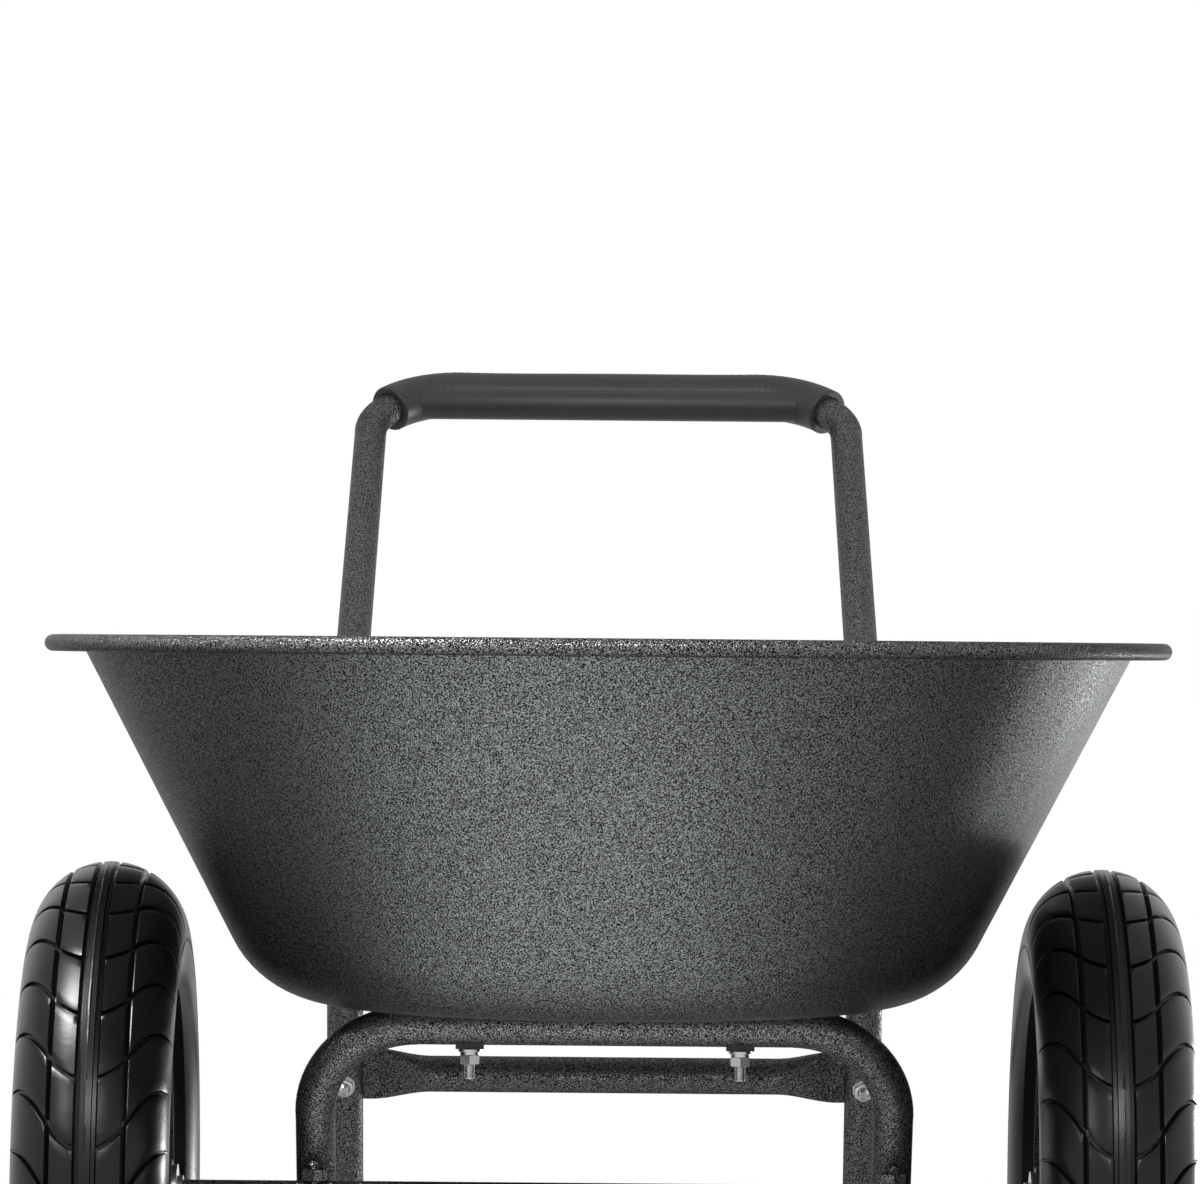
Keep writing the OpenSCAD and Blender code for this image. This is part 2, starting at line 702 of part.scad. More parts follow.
module at_wheel(side) {
  placed() on_side(side) translate([track / 2, 0, axle_z]) rotate([0, 90, 0]) children();
}
module tyre_section() {
  seat_r = seat_d / 2;
  difference() {
    union() {
      translate([section_c, 0]) circle(r = section_r, $fn = 96);
      translate([seat_r, -rim_w / 2]) square([section_c - seat_r, rim_w]);
    }
    translate([cavity_c, 0]) circle(r = cavity_r, $fn = 96);
    translate([0, -rim_w / 2 + bead_w]) square([cavity_c, rim_w - 2 * bead_w]);
    translate([0, -tyre_w]) square([seat_r, 2 * tyre_w]);
    for (m = [0, 1]) mirror([0, m]) {
      translate([0, rim_w / 2]) square([flange_d / 2 + side_play, tyre_w]);
      translate([axle_z - groove_h, rib_w / 2]) square([2 * groove_h, groove_w]);
      translate([section_c + section_r * cos(asin(outer_groove / section_r)) - groove_h, outer_groove])
        square([3 * groove_h, groove_w]);
    }
  }
}
outer_groove = rib_w / 2 + groove_w + block_w;
module tyre(side) { color(rubber) at_wheel(side) rotate_extrude($fn = 128) tyre_section(); }
module inner_tube(side) {
  color(rubber) at_wheel(side) rotate_extrude($fn = 128) translate([cavity_c, 0]) difference() {
    circle(r = tube_section_r);
    circle(r = tube_section_r - tube_rubber);
  }
}

// Pressed rim half: disc, sloping well, bead seat and flange
module rim_half_section() {
  seat_r = seat_d / 2;
  h = rim_w / 2;
  slope_in = rim_t * tan(atan2(well_h, seat_r - disc_r) / 2);
  polygon([
    [hub_d / 2, 0], [disc_r + slope_in, 0], [seat_r, well_h - rim_t], [seat_r, h],
    [flange_d / 2, h], [flange_d / 2, h + rim_t], [seat_r - rim_t, h + rim_t],
    [seat_r - rim_t, well_h], [disc_r, rim_t], [hub_d / 2, rim_t]
  ]);
}
module rim_bolt_places() {
  for (k = [0:rim_bolt_count - 1]) rotate([0, 0, 45 + 360 * k / rim_bolt_count]) translate([rim_bolt_r, 0, 0])
    children();
}
module rim_half() {
  difference() {
    rotate_extrude($fn = 128) rim_half_section();
    rim_bolt_places() translate([0, 0, -1]) cylinder(d = rim_bolt_d + 2 * slide_gap, h = rim_t + 2);
  }
}
module rim_outer(side) {
  color(paint_grey) at_wheel(side) difference() {
    rim_half();
    translate([0, 0, valve_h]) rotate([0, -90, 0]) cylinder(d = valve_d + 2 * slide_gap, h = seat_d);
  }
}
module rim_inner(side) { color(paint_grey) at_wheel(side) mirror([0, 0, 1]) rim_half(); }
module hub(side) {
  step = 4;
  color(paint_grey) at_wheel(side) difference() {
    cylinder(d = hub_d, h = hub_l, center = true);
    cylinder(d = bearing_d - 2 * step, h = 2 * hub_l, center = true);
    both_ends() translate([0, 0, hub_l / 2 - bearing_w]) cylinder(d = bearing_d, h = hub_l);
  }
}
// Sealed ball bearing seen as its two races with a sunk seal between them
module bearing() {
  bore_r = axle_r + run_gap;
  race = 2.4;
  sunk = 0.6;
  rotate_extrude() difference() {
    translate([bore_r, 0]) square([bearing_d / 2 - bore_r, bearing_w]);
    for (z = [-sunk, bearing_w - sunk])
      translate([bore_r + race, z]) square([bearing_d / 2 - bore_r - 2 * race, 2 * sunk]);
  }
}
module bearing_outer(side) { color(zinc) at_wheel(side) translate([0, 0, hub_l / 2 - bearing_w]) bearing(); }
module bearing_inner(side) { color(zinc) at_wheel(side) translate([0, 0, -hub_l / 2]) bearing(); }

// Valve, pointing from the tube to the hub beside the outer rim half
tube_reach = cavity_c - sqrt(tube_section_r * tube_section_r - valve_h * valve_h);
module valve_stem(side) {
  color(rubber) at_wheel(side) translate([-tube_reach + 2 * side_play, 0, valve_h]) rotate([0, 90, 0]) {
    cylinder(d = valve_d, h = tube_reach - valve_out - valve_tip_l);
    cylinder(d = valve_tip_d, h = tube_reach - valve_out);
  }
}
module valve_cap(side) {
  color(plastic) at_wheel(side) translate([-valve_out - valve_tip_l + 4 * side_play, 0, valve_h])
    rotate([0, 90, 0]) difference() {
      cylinder(d = valve_cap_d, h = valve_cap_l);
      translate([0, 0, -1]) cylinder(d = valve_tip_d + 2 * slide_gap, h = valve_tip_l + 1);
    }
}
module rim_bolts(side) {
  color(zinc) at_wheel(side) rim_bolt_places() {
    translate([0, 0, rim_t]) hex_prism(rim_hex_w, rim_nut_h - 1);
    translate([0, 0, -rim_t - rim_nut_h - 2]) cylinder(d = rim_bolt_d, h = 2 * rim_t + rim_nut_h + 2);
  }
}
module rim_nuts(side) {
  color(zinc) at_wheel(side) rim_bolt_places() translate([0, 0, -rim_t - rim_nut_h]) difference() {
    hex_prism(rim_hex_w, rim_nut_h);
    translate([0, 0, -1]) cylinder(d = rim_bolt_d + 2 * slide_gap, h = rim_nut_h + 2);
  }
}

tray_bottom();
tray_bend();
tray_wall();
base_frame();
rear_leg(-1);  // left_rear_leg
rear_leg(1);  // right_rear_leg
cross_brace();
arm(-1);  // left_arm
arm(1);  // right_arm
handle_loop();
foam_grip();
tray_strap();
axle();
axle_seat(-1);  // left_axle_seat
axle_seat(1);  // right_axle_seat
axle_bolts();
axle_nuts();
tray_bolts();
tray_saddles();
tray_washers();
tray_spring_washers();
tray_nuts();
brace_bolts();
brace_washers();
brace_nuts();
leg_bolts();
leg_nuts();
stretcher_bolts();
stretcher_nuts();
handle_bolts();
handle_nuts();
foot(-1);  // left_foot
foot(1);  // right_foot
inner_washers();
axle_collars();
outer_washers();
split_pins();
tyre(-1);  // left_tyre
inner_tube(-1);  // left_inner_tube
rim_inner(-1);  // left_rim_inner
rim_outer(-1);  // left_rim_outer
hub(-1);  // left_hub
bearing_inner(-1);  // left_bearing_inner
bearing_outer(-1);  // left_bearing_outer
valve_stem(-1);  // left_valve_stem
valve_cap(-1);  // left_valve_cap
rim_bolts(-1);  // left_rim_bolts
rim_nuts(-1);  // left_rim_nuts
tyre(1);  // right_tyre
inner_tube(1);  // right_inner_tube
rim_inner(1);  // right_rim_inner
rim_outer(1);  // right_rim_outer
hub(1);  // right_hub
bearing_inner(1);  // right_bearing_inner
bearing_outer(1);  // right_bearing_outer
valve_stem(1);  // right_valve_stem
valve_cap(1);  // right_valve_cap
rim_bolts(1);  // right_rim_bolts
rim_nuts(1);  // right_rim_nuts
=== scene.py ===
import math

import bpy
import numpy as np
from mathutils import Matrix, Vector


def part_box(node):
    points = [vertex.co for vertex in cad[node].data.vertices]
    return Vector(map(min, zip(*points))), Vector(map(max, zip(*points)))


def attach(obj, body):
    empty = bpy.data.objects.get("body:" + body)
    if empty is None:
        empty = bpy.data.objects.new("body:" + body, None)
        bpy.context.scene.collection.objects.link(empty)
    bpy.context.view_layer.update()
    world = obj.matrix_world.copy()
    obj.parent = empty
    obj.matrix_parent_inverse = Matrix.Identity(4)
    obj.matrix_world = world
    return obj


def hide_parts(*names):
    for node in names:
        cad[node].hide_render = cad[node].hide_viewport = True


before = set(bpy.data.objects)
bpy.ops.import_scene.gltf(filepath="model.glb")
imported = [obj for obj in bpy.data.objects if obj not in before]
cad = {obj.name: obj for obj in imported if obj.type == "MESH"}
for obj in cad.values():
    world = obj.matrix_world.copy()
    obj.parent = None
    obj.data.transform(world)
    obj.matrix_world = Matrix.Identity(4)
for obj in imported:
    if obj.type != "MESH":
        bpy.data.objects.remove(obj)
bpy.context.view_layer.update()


# Tray
# A deep oval bowl pressed from thin steel sheet, its edge rolled outwards over a wire bead.
# It is sprayed with dark grey hammertone paint and bolted down through its flat bottom.

MM = 0.001
AXLE_Y = (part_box("axle")[0][1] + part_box("axle")[1][1]) / 2
TRAY_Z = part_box("tray_bottom")[0][2]
# In mm: the sheet and its bends, then the middles of the bottom and the rim behind the axle.
SHEET, DEPTH, BEAD, LIP, LOW_R, LIP_R = 0.9, 191.0, 4.5, 13.5, 60.0, 6.0
BOTTOM_Y, RIM_Y = 52.0, 66.0
# Steps of the mesh across the bottom, round the tray and along its section.
SPOKES = (0.3, 0.6, 0.85)
RINGS, LOW_STEPS, WALL_STEPS, TOP_STEPS, ROLL_STEPS = 240, 12, 10, 6, 21


def put_mesh(name, points, faces, sharp_deg=35):
    """A closed mesh that faces outwards, smooth shaded up to the given angle between its faces."""
    mesh = bpy.data.meshes.new(name)
    mesh.from_pydata([tuple(p) for p in points], [], faces)
    mesh.validate()
    mesh.calc_loop_triangles()
    corners = np.array([[mesh.vertices[i].co for i in t.vertices] for t in mesh.loop_triangles])
    if np.einsum("ij,ij", corners[:, 0], np.cross(corners[:, 1], corners[:, 2])) < 0:
        mesh.flip_normals()
    mesh.shade_smooth()
    mesh.set_sharp_from_angle(angle=math.radians(sharp_deg))
    thing = bpy.data.objects.new(name, mesh)
    bpy.context.scene.collection.objects.link(thing)
    return thing


def skin(rings, wrap_rings, wrap_points):
    """Points and quads over a grid of rings, closed along either direction or left open."""
    count, per = len(rings), len(rings[0])
    points = [p for ring in rings for p in ring]
    faces = []
    for i in range(count if wrap_rings else count - 1):
        for j in range(per if wrap_points else per - 1):
            a, b = i * per, ((i + 1) % count) * per
            k = (j + 1) % per
            faces.append((a + j, a + k, b + k, b + j))
    return points, faces


def oval(phi, half_w, front, back, middle, full_front, full_back):
    """Point of the tray's outline in mm from the axle, fuller than an ellipse towards the back."""
    full, reach = (full_front, front + middle) if math.sin(phi) < 0 else (full_back, back - middle)

    def power(v):
        return math.copysign(abs(v) ** (2 / full), v)
    return np.array([half_w * power(math.cos(phi)), middle + reach * power(math.sin(phi))])


def tray_section(run):
    """Sheet section in mm: underside from the bottom to the rolled rim, then back along the upper side."""
    wall = DEPTH + BEAD - SHEET
    lean = math.atan2(run, wall)
    shift = SHEET * np.array([-math.cos(lean) / (1 + math.sin(lean)), 1])

    def low_bend(corner, r):
        turns = [math.pi / 2 + (lean - math.pi / 2) * k / LOW_STEPS for k in range(LOW_STEPS + 1)]
        return [corner + [r * math.cos(b) - r * math.tan((math.pi / 2 - lean) / 2), r * (1 - math.sin(b))]
                for b in turns]

    def top_bend(corner, r):
        t = r * math.tan((math.pi / 2 - lean) / 2)
        start = corner - t * np.array([math.sin(lean), math.cos(lean)])
        turns = [lean + (math.pi / 2 - lean) * k / TOP_STEPS for k in range(TOP_STEPS + 1)]
        return [start + r * np.array([math.cos(lean) - math.cos(b), math.sin(b) - math.sin(lean)])
                for b in turns]

    def wall_between(p, q):
        return [p + (q - p) * k / WALL_STEPS for k in range(1, WALL_STEPS)]

    corner, top = np.zeros(2), np.array([run, wall])
    low, high = low_bend(corner, LOW_R), top_bend(top, LIP_R)
    start = math.pi - math.asin((BEAD - SHEET) / BEAD)
    rolled = [np.array([run + LIP, DEPTH]) + BEAD * np.array([math.cos(b), math.sin(b)])
              for b in np.linspace(start, 2.5 * math.pi, ROLL_STEPS + 1)]
    low_in, high_in = low_bend(corner + shift, LOW_R - SHEET), top_bend(top + shift, LIP_R + SHEET)
    return (low + wall_between(low[-1], high[0]) + high + rolled
            + high_in[::-1] + wall_between(high_in[0], low_in[-1]) + low_in[::-1])


def tray_point(spot, rise):
    """Point of the tray from mm off the axle and mm above the underside of the bottom."""
    return spot[0] * MM, AXLE_Y + spot[1] * MM, TRAY_Z + rise * MM


tray_rings = []
centre = np.array([0.0, BOTTOM_Y])
for step in range(RINGS):
    phi = 2 * math.pi * step / RINGS
    foot = oval(phi, half_w=185, front=204, back=252, middle=BOTTOM_Y, full_front=2.14, full_back=2.8)
    brim = oval(phi, half_w=304.5 - LIP - BEAD, front=346 - LIP - BEAD, back=430 - LIP - BEAD,
                middle=RIM_Y, full_front=2.25, full_back=2.8)
    run = np.linalg.norm(brim - foot)
    out = (brim - foot) / run
    section = tray_section(run)
    below, above = foot + section[0][0] * out, foot + section[-1][0] * out
    ring = [tray_point(centre + s * (below - centre), 0) for s in SPOKES]
    ring += [tray_point(foot + d * out, rise) for d, rise in section]
    ring += [tray_point(centre + s * (above - centre), section[-1][1]) for s in SPOKES[::-1]]
    tray_rings.append(ring)
points, faces = skin(tray_rings, True, False)
per = len(tray_rings[0])
faces.append([i * per for i in range(RINGS)])
faces.append([i * per + per - 1 for i in range(RINGS - 1, -1, -1)])
tray = put_mesh("tray_bowl", points, faces)
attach(tray, "chassis")
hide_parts("tray_bottom", "tray_bend", "tray_wall")


def new_group(name, inputs, outputs):
    """An empty shader node group with named sockets: (name, kind, default) in, (name, kind) out."""
    group = bpy.data.node_groups.new(name, "ShaderNodeTree")
    for label, kind, value in inputs:
        group.interface.new_socket(label, in_out="INPUT", socket_type=kind).default_value = value
    for label, kind in outputs:
        group.interface.new_socket(label, in_out="OUTPUT", socket_type=kind)
    return group, group.nodes.new("NodeGroupInput"), group.nodes.new("NodeGroupOutput")


def add(tree, kind, **settings):
    """A node with its settings and plain socket values; a key that starts with in_ names an input socket."""
    item = tree.nodes.new(kind)
    for key, value in settings.items():
        if key.startswith("in_"):
            item.inputs[key[3:]].default_value = value
        else:
            setattr(item, key, value)
    return item


def ranged(tree, to_min, to_max, from_min=0.0, from_max=1.0, curve="LINEAR"):
    """A Map Range node with its four limits."""
    item = add(tree, "ShaderNodeMapRange", interpolation_type=curve)
    limits = (("From Min", from_min), ("From Max", from_max), ("To Min", to_min), ("To Max", to_max))
    for socket, value in limits:
        item.inputs[socket].default_value = value
    return item


# Hammertone paint: hard little cells of light and dark pigment in a lumpy film.
hammertone, taken, given = new_group(
    "hammertone",
    [("Dark", "NodeSocketColor", (0.01, 0.01, 0.01, 1)), ("Light", "NodeSocketColor", (0.1, 0.1, 0.1, 1))],
    [("Color", "NodeSocketColor"), ("Roughness", "NodeSocketFloat"), ("Height", "NodeSocketFloat")])
where = add(hammertone, "ShaderNodeTexCoord")
cells = add(hammertone, "ShaderNodeTexNoise", in_Scale=1300.0, in_Detail=1.0, in_Roughness=0.5,
            in_Distortion=0.5)
patch = add(hammertone, "ShaderNodeTexNoise", in_Scale=9.0, in_Detail=3.0)
split = ranged(hammertone, 0.0, 1.0, 0.36, 0.66, "SMOOTHSTEP")
tint = add(hammertone, "ShaderNodeMix", data_type="RGBA")
cloud = ranged(hammertone, 0.85, 1.15)
worn = add(hammertone, "ShaderNodeMix", data_type="RGBA", blend_type="MULTIPLY", in_Factor=1.0)
gloss = ranged(hammertone, 0.40, 0.27)
link = hammertone.links.new
link(where.outputs["Object"], cells.inputs["Vector"])
link(where.outputs["Object"], patch.inputs["Vector"])
link(cells.outputs["Fac"], split.inputs["Value"])
link(split.outputs["Result"], tint.inputs["Factor"])
link(taken.outputs["Dark"], tint.inputs["A"])
link(taken.outputs["Light"], tint.inputs["B"])
link(patch.outputs["Fac"], cloud.inputs["Value"])
link(tint.outputs["Result"], worn.inputs["A"])
link(cloud.outputs["Result"], worn.inputs["B"])
link(split.outputs["Result"], gloss.inputs["Value"])
link(worn.outputs["Result"], given.inputs["Color"])
link(gloss.outputs["Result"], given.inputs["Roughness"])
link(split.outputs["Result"], given.inputs["Height"])


def new_material(name, **plain):
    """A material with a Principled shader, its constant sockets set in place."""
    material = bpy.data.materials.new(name)
    material.use_nodes = True
    shader = material.node_tree.nodes["Principled BSDF"]
    for socket, value in plain.items():
        shader.inputs[socket.replace("_", " ")].default_value = value
    return material, material.node_tree, shader


def hammertone_paint(name, dark, light, metallic, lumps):
    """Hammertone of two tones, darker where it is seen at a slant."""
    material, tree, shader = new_material(name, Metallic=metallic, Specular_IOR_Level=0.12,
                                          Specular_Tint=(0.3, 0.3, 0.3, 1))
    film = add(tree, "ShaderNodeGroup", node_tree=hammertone, in_Dark=(*dark, 1), in_Light=(*light, 1))
    bump = add(tree, "ShaderNodeBump", in_Strength=lumps, in_Distance=0.0003)
    tree.links.new(film.outputs["Color"], shader.inputs["Base Color"])
    tree.links.new(film.outputs["Roughness"], shader.inputs["Roughness"])
    tree.links.new(film.outputs["Height"], bump.inputs["Height"])
    tree.links.new(bump.outputs["Normal"], shader.inputs["Normal"])
    return material


def finish_with(material, *things):
    """Give each thing this one material."""
    for thing in things:
        thing.data.materials.clear()
        thing.data.materials.append(material)


tray_paint = hammertone_paint("tray_hammertone", dark=(0.0118, 0.0122, 0.0125), light=(0.290, 0.303, 0.311),
                              metallic=0.85, lumps=0.45)
finish_with(tray_paint, tray)
# The bead gets a darker copy of the same paint: painted shade on the rolled edge, darker than the wall.
painted_shade_bead_paint = hammertone_paint("bead_hammertone_painted_shade", dark=(0.003, 0.003, 0.003), light=(0.27, 0.27, 0.27),
                              metallic=0.9, lumps=0.9)
tray.data.materials.append(painted_shade_bead_paint)
first_rolled = len(SPOKES) + (LOW_STEPS + 1) + (WALL_STEPS - 1) + (TOP_STEPS + 1)
for face in tray.data.polygons[:RINGS * (per - 1)]:
    if first_rolled <= face.index % (per - 1) < first_rolled + ROLL_STEPS:
        face.material_index = 1


# Base frame, rear legs, cross brace, arms, handle loop, strap, axle and axle seats
# Round steel tube, bent cold, with ends pressed flat where they bolt to their neighbours. The strap and the
# seats are flat steel, welded on, and the axle is a rod. All of it is sprayed with black hammertone paint.

frame_paint = hammertone_paint("frame_hammertone", dark=(0.010, 0.010, 0.010), light=(0.32, 0.32, 0.323),
                               metallic=0.82, lumps=0.45)
finish_with(frame_paint, cad["base_frame"], cad["tray_strap"], cad["handle_loop"],
            cad["axle"], cad["left_axle_seat"], cad["right_axle_seat"])

# In mm: the tube and its pressed ends, the rear legs' bolts, the cross brace, the arms' knees and ends.
AXLE_MM = AXLE_Y / MM
TUBE_R, PAD_T, PAD_HALF, CRUSH = 10.65, 3.0, 15.0, 35.0
AROUND, CRUSH_STEPS = 48, 14
LEG_X, LEG_Y, LEG_Z, LEAN = 152.35, 332.05, 312.87, math.radians(15)
LEG_END, PAD_INWARD = 10, 4
BRACE_DROP, BRACE_OVER = 100.28, 10
KNEE_X, KNEE_Y, KNEE_Z, SLOPE = 160.5, 266, 279.5, math.radians(26.8)
ARM_FLAT, ARM_LONG = (-86, -40, 0), 330


def eased(t):
    """Smooth step from 0 to 1."""
    t = min(1.0, max(0.0, t))
    return t * t * (3 - 2 * t)


def pressed_outline(flat):
    """Section of the tube, (through the flat, along it): round where flat is 0, pressed where it is 1."""
    thick = TUBE_R + (PAD_T / 2 - TUBE_R) * flat
    wide = thick + (TUBE_R - thick) * math.pi / 2
    outline = []
    for k in range(AROUND):
        turn = 2 * math.pi * (k + 0.5) / AROUND
        edge = math.copysign(wide - thick, math.sin(turn))
        outline.append((thick * math.cos(turn), thick * math.sin(turn) + edge))
    return outline


def pressed_tube(name, node, stations):
    """Tube through a list of (place in mm, flat): the place's X runs through the flat, its Y along it."""
    rings = [[tuple(place @ Vector((x, y, 0)) * MM) for x, y in pressed_outline(flat)]
             for place, flat in stations]
    points, faces = skin(rings, False, True)
    faces += [list(range(AROUND - 1, -1, -1)), list(range(len(points) - AROUND, len(points)))]
    piece = put_mesh(name, points, faces)
    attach(piece, "chassis")
    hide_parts(node)
    finish_with(frame_paint, piece)


crush_steps = [k / CRUSH_STEPS for k in range(CRUSH_STEPS + 1)]
at_brace = (Matrix.Translation((0, AXLE_MM + LEG_Y, LEG_Z)) @ Matrix.Rotation(LEAN, 4, "X")
            @ Matrix.Translation((0, 0, -BRACE_DROP)))
brace_axis = at_brace @ Matrix.Translation((0, TUBE_R + PAD_T / 2, 0)) @ Matrix.Rotation(math.pi / 2, 4, "Z")
brace_axis = brace_axis @ Matrix.Rotation(-math.pi / 2, 4, "X")
half_round = LEG_X - PAD_HALF - CRUSH
brace_run = [(half_round + CRUSH + PAD_HALF + BRACE_OVER, 1.0)]
brace_run += [(half_round + CRUSH * (1 - t), 1 - eased(t)) for t in crush_steps]
brace_run += [(-at, flat) for at, flat in brace_run[::-1]]
pressed_tube("flared_brace", "cross_brace",
             [(brace_axis @ Matrix.Translation((0, 0, at)), flat) for at, flat in brace_run])
for side, sign in (("left", -1), ("right", 1)):
    at_leg = Matrix.Translation((sign * LEG_X, AXLE_MM + LEG_Y, LEG_Z)) @ Matrix.Rotation(LEAN, 4, "X")
    leg_run = [(LEG_END - LEG_Z / math.cos(LEAN), 0.0)]
    leg_run += [(-PAD_HALF - CRUSH * (1 - t), eased(t)) for t in crush_steps] + [(PAD_HALF, 1.0)]
    pressed_tube(side + "_pressed_leg", side + "_rear_leg",
                 [(at_leg @ Matrix.Translation((-PAD_INWARD * sign * flat, 0, at)), flat)
                  for at, flat in leg_run])
    at_knee = Matrix.Translation((sign * KNEE_X, AXLE_MM + KNEE_Y, KNEE_Z))
    arm_run = [(at_knee @ Matrix.Translation((0, at, 0)), 1.0) for at in ARM_FLAT]
    for t in crush_steps[1:] + [ARM_LONG / CRUSH]:
        at_arm = at_knee @ Matrix.Rotation(SLOPE, 4, "X") @ Matrix.Translation((0, CRUSH * t, 0))
        arm_run.append((at_arm @ Matrix.Rotation(-SLOPE * (1 - eased(2 * t)), 4, "X"), 1 - eased(t)))
    upright_flat = Matrix.Rotation(-math.pi / 2, 4, "X") @ Matrix.Rotation(math.pi / 2, 4, "Z")
    pressed_tube(side + "_pressed_arm", side + "_arm", [(at @ upright_flat, flat) for at, flat in arm_run])


# Foam grip
# A sleeve of closed cell foam, pushed over the handle loop so that it runs a little way into both bends.
# It creases on the inside of the bends and its cut ends stand off the tube.

# In metres: the bar and its bends, the foam, its creases, its bore and its rounded ends.
BEND, HALF_BAR, SWEEP = 0.060, 0.1005, math.radians(54)
SLEEVE_R, FOAM_R, FULLER, UNEVEN = 0.0155, 0.0149, 0.0005, 0.0003
CREASED_FROM, CREASED_TO, CREASE_STEP, CREASE_DEEP = 0.066, 0.130, 0.0052, 0.00018
BORE_IN, BORE_END, BORE_LONG = 0.0108, 0.0112, 0.012
ROUND_LONG, ROUND_DEEP = 0.0012, 0.0008
GRIP_ALONG, GRIP_AROUND = 261, 72
uphill = np.array([0, math.cos(SLOPE), math.sin(SLOPE)])
across = np.array([1.0, 0, 0])
upright = np.cross(across, uphill)
grip_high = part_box("foam_grip")[1]
bar_y = grip_high[1] - SLEEVE_R
bar_z = grip_high[2] - SLEEVE_R
reach = HALF_BAR + BEND * SWEEP


def grip_line(s):
    """Centre and outward direction of the bar at the length s from its middle."""
    side, far = math.copysign(1, s), abs(s)
    if far <= HALF_BAR:
        return np.array([s, bar_y, bar_z]), uphill
    turn = (far - HALF_BAR) / BEND
    outward = side * math.sin(turn) * across + math.cos(turn) * uphill
    return np.array([side * HALF_BAR, bar_y, bar_z]) - BEND * uphill + BEND * outward, outward


def grip_radius(s, psi):
    """Foam radius: a little fuller towards the bends, creased on their inner sides, rounded at the ends."""
    far = abs(s)
    r = FOAM_R + FULLER * min(1, (far / HALF_BAR) ** 3)
    bend_part = np.clip((far - CREASED_FROM) / 0.02, 0, 1) * np.clip((CREASED_TO - far) / 0.025, 0, 1)
    inner = np.clip(-math.cos(psi) * 1.2, 0, 1) ** 1.5
    side = 0.6 * abs(math.sin(psi)) ** 4
    crease = math.sin(2 * math.pi * far / CREASE_STEP + 1.3 * math.sin(3 * psi) + 0.9 * math.sin(far * 310))
    r += CREASE_DEEP * bend_part * (inner + side) * crease
    r += UNEVEN * math.sin(2 * psi + 9 * s) * math.sin(31 * s + 1)
    if reach - far < ROUND_LONG:
        r -= ROUND_DEEP * (1 - (reach - far) / ROUND_LONG)
    return r


grip_rings = []
stations = [(-reach + BORE_LONG, BORE_IN), (-reach, BORE_END)]
stations += [(s, None) for s in np.linspace(-reach, reach, GRIP_ALONG)]
stations += [(reach, BORE_END), (reach - BORE_LONG, BORE_IN)]
for s, bore in stations:
    centre, outward = grip_line(s)
    ring = []
    for k in range(GRIP_AROUND):
        psi = 2 * math.pi * k / GRIP_AROUND
        r = bore or grip_radius(s, psi)
        ring.append(centre + r * (math.cos(psi) * outward + math.sin(psi) * upright))
    grip_rings.append(ring)
grip = put_mesh("foam_sleeve", *skin(grip_rings, True, True), sharp_deg=50)
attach(grip, "chassis")
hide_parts("foam_grip")


def mottled(name, broad, fine, shades, rough, bump, **plain):
    """Material whose shade and roughness follow a broad noise and whose bump follows a fine one.

    A noise is (scale, detail), the bump is (strength, distance).
    """
    material, tree, shader = new_material(name, **plain)
    where = add(tree, "ShaderNodeTexCoord")
    patches = add(tree, "ShaderNodeTexNoise", in_Scale=broad[0], in_Detail=broad[1])
    grain = add(tree, "ShaderNodeTexNoise", in_Scale=fine[0], in_Detail=fine[1])
    shade = add(tree, "ShaderNodeMix", data_type="RGBA", in_A=(*shades[0], 1), in_B=(*shades[1], 1))
    dull = ranged(tree, *rough)
    relief = add(tree, "ShaderNodeBump", in_Strength=bump[0], in_Distance=bump[1])
    for noise in (patches, grain):
        tree.links.new(where.outputs["Object"], noise.inputs["Vector"])
    tree.links.new(patches.outputs["Fac"], shade.inputs["Factor"])
    tree.links.new(patches.outputs["Fac"], dull.inputs["Value"])
    tree.links.new(grain.outputs["Fac"], relief.inputs["Height"])
    tree.links.new(shade.outputs["Result"], shader.inputs["Base Color"])
    tree.links.new(dull.outputs["Result"], shader.inputs["Roughness"])
    tree.links.new(relief.outputs["Normal"], shader.inputs["Normal"])
    return material


foam_skin = mottled("foam_skin", broad=(22.0, 4.0), fine=(900.0, 3.0),
                    shades=((0.016, 0.016, 0.016), (0.034, 0.034, 0.0335)), rough=(0.38, 0.56),
                    bump=(0.25, 0.0003), Metallic=0.0, Specular_IOR_Level=0.5)
finish_with(foam_skin, grip)


# Bolts, nuts, washers, collars, pins and bearings
# Small steel hardware with rolled threads and chamfered hexagons, zinc plated in a barrel.
# Round headed bolts hold the tray, hexagon bolts the tubes. Those of the axle are painted with the frame.

# Sizes are in mm, the hexagon's face is a share of its width.
TURNS = 36
FACE, CHAMFER = 0.48, math.tan(math.radians(28))
MOUTH, TIP_CUT, THREAD_DEEP = 0.5, 0.9, 0.45
HEAD_R, WASHER = 6.6, 1.6
HEX_HEAD = {"thread": 11, "head_w": 10, "head_h": 4}
ROUND_HEAD = {"head_w": 2 * HEAD_R, "head_h": 2.8}


def hexagon(width, turn):
    """Radius of a hexagon of the given width across its flats, at an angle."""
    return width / 2 / math.cos((turn + math.pi / 6) % (math.pi / 3) - math.pi / 6)


def revolve(profile, wrap):
    """Grid of (radius, height) pairs, one list for each angle, turned round the Z axis."""
    rings = []
    for k in range(TURNS):
        turn = 2 * math.pi * k / TURNS
        rings.append([(r * math.cos(turn), r * math.sin(turn), z) for r, z in profile(turn)])
    return skin(rings, True, wrap)


def nut_shape(width, height, bore):
    """Nut up from Z = 0, chamfered on both sides and at its bore."""
    inner = FACE * width

    def profile(turn):
        r = hexagon(width, turn)
        drop = (r - inner) * CHAMFER
        return [(bore + MOUTH, 0), (inner, 0), (r, drop), (r, height - drop), (inner, height),
                (bore + MOUTH, height), (bore, height - MOUTH), (bore, MOUTH)]
    return revolve(profile, True)


